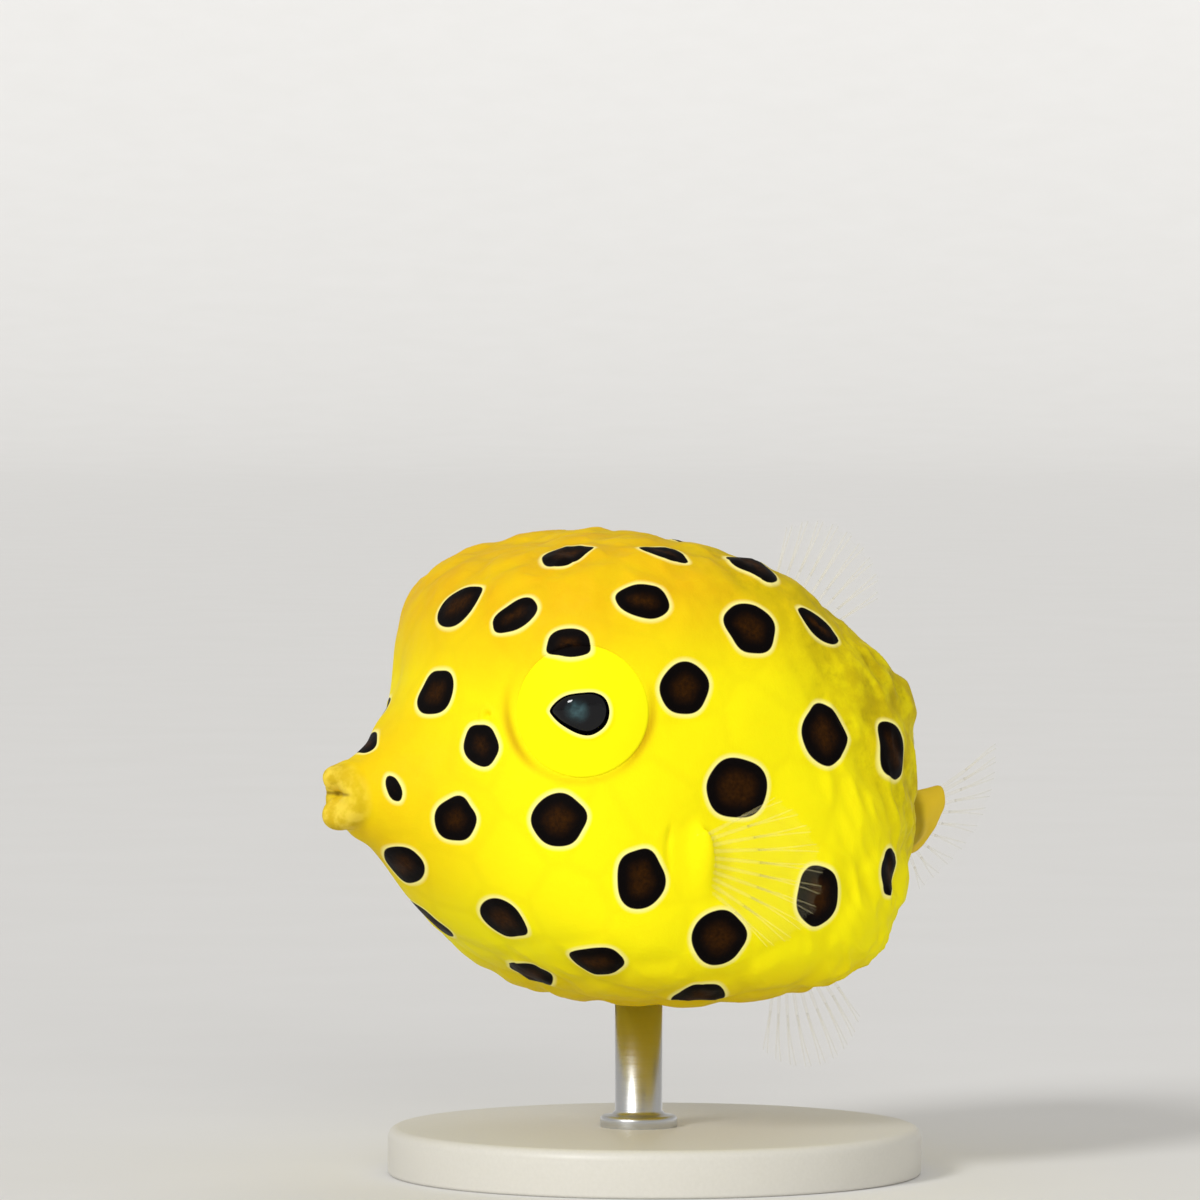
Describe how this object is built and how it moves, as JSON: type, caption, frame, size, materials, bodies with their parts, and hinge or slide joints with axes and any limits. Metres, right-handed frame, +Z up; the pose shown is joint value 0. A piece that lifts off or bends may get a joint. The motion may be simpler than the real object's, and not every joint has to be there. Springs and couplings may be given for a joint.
{
  "type": "yellow boxfish",
  "caption": "Young yellow boxfish with dark round spots, swimming level, as a life-size still model on a small round display stand.",
  "frame": {"origin": "centre of the stand's flat underside, below the middle of the fish's carapace", "axes": "+Z up, -X towards the snout, -Y towards the fish's left flank, which the picture shows"},
  "size_m": [0.0276, 0.0216, 0.0222],
  "materials": {
    "skin": "satin wet fish skin over low bony plates, bright yellow with dark brown spots in pale rims",
    "lips": "soft satin, pale cream yellow",
    "iris": "smooth, glossy lemon yellow",
    "pupil": "very glossy blue-black",
    "fin": "clear, faintly yellow membrane with fine rays",
    "stand_steel": "fine brushed",
    "stand_paint": "satin ivory"
  },
  "bodies": {
    "root": {"head": "skin", "trunk": "skin", "tail_stalk": "skin", "lip_upper": "lips", "lip_lower": "lips", "eye_left": "iris", "eye_right": "iris", "pupil_left": "pupil", "pupil_right": "pupil", "pectoral_fin_left": "fin", "pectoral_fin_right": "fin", "dorsal_fin": "fin", "anal_fin": "fin", "caudal_fin": "fin", "stand_rod": "stand_steel", "stand_base": "stand_paint"}
  },
  "joints": []
}
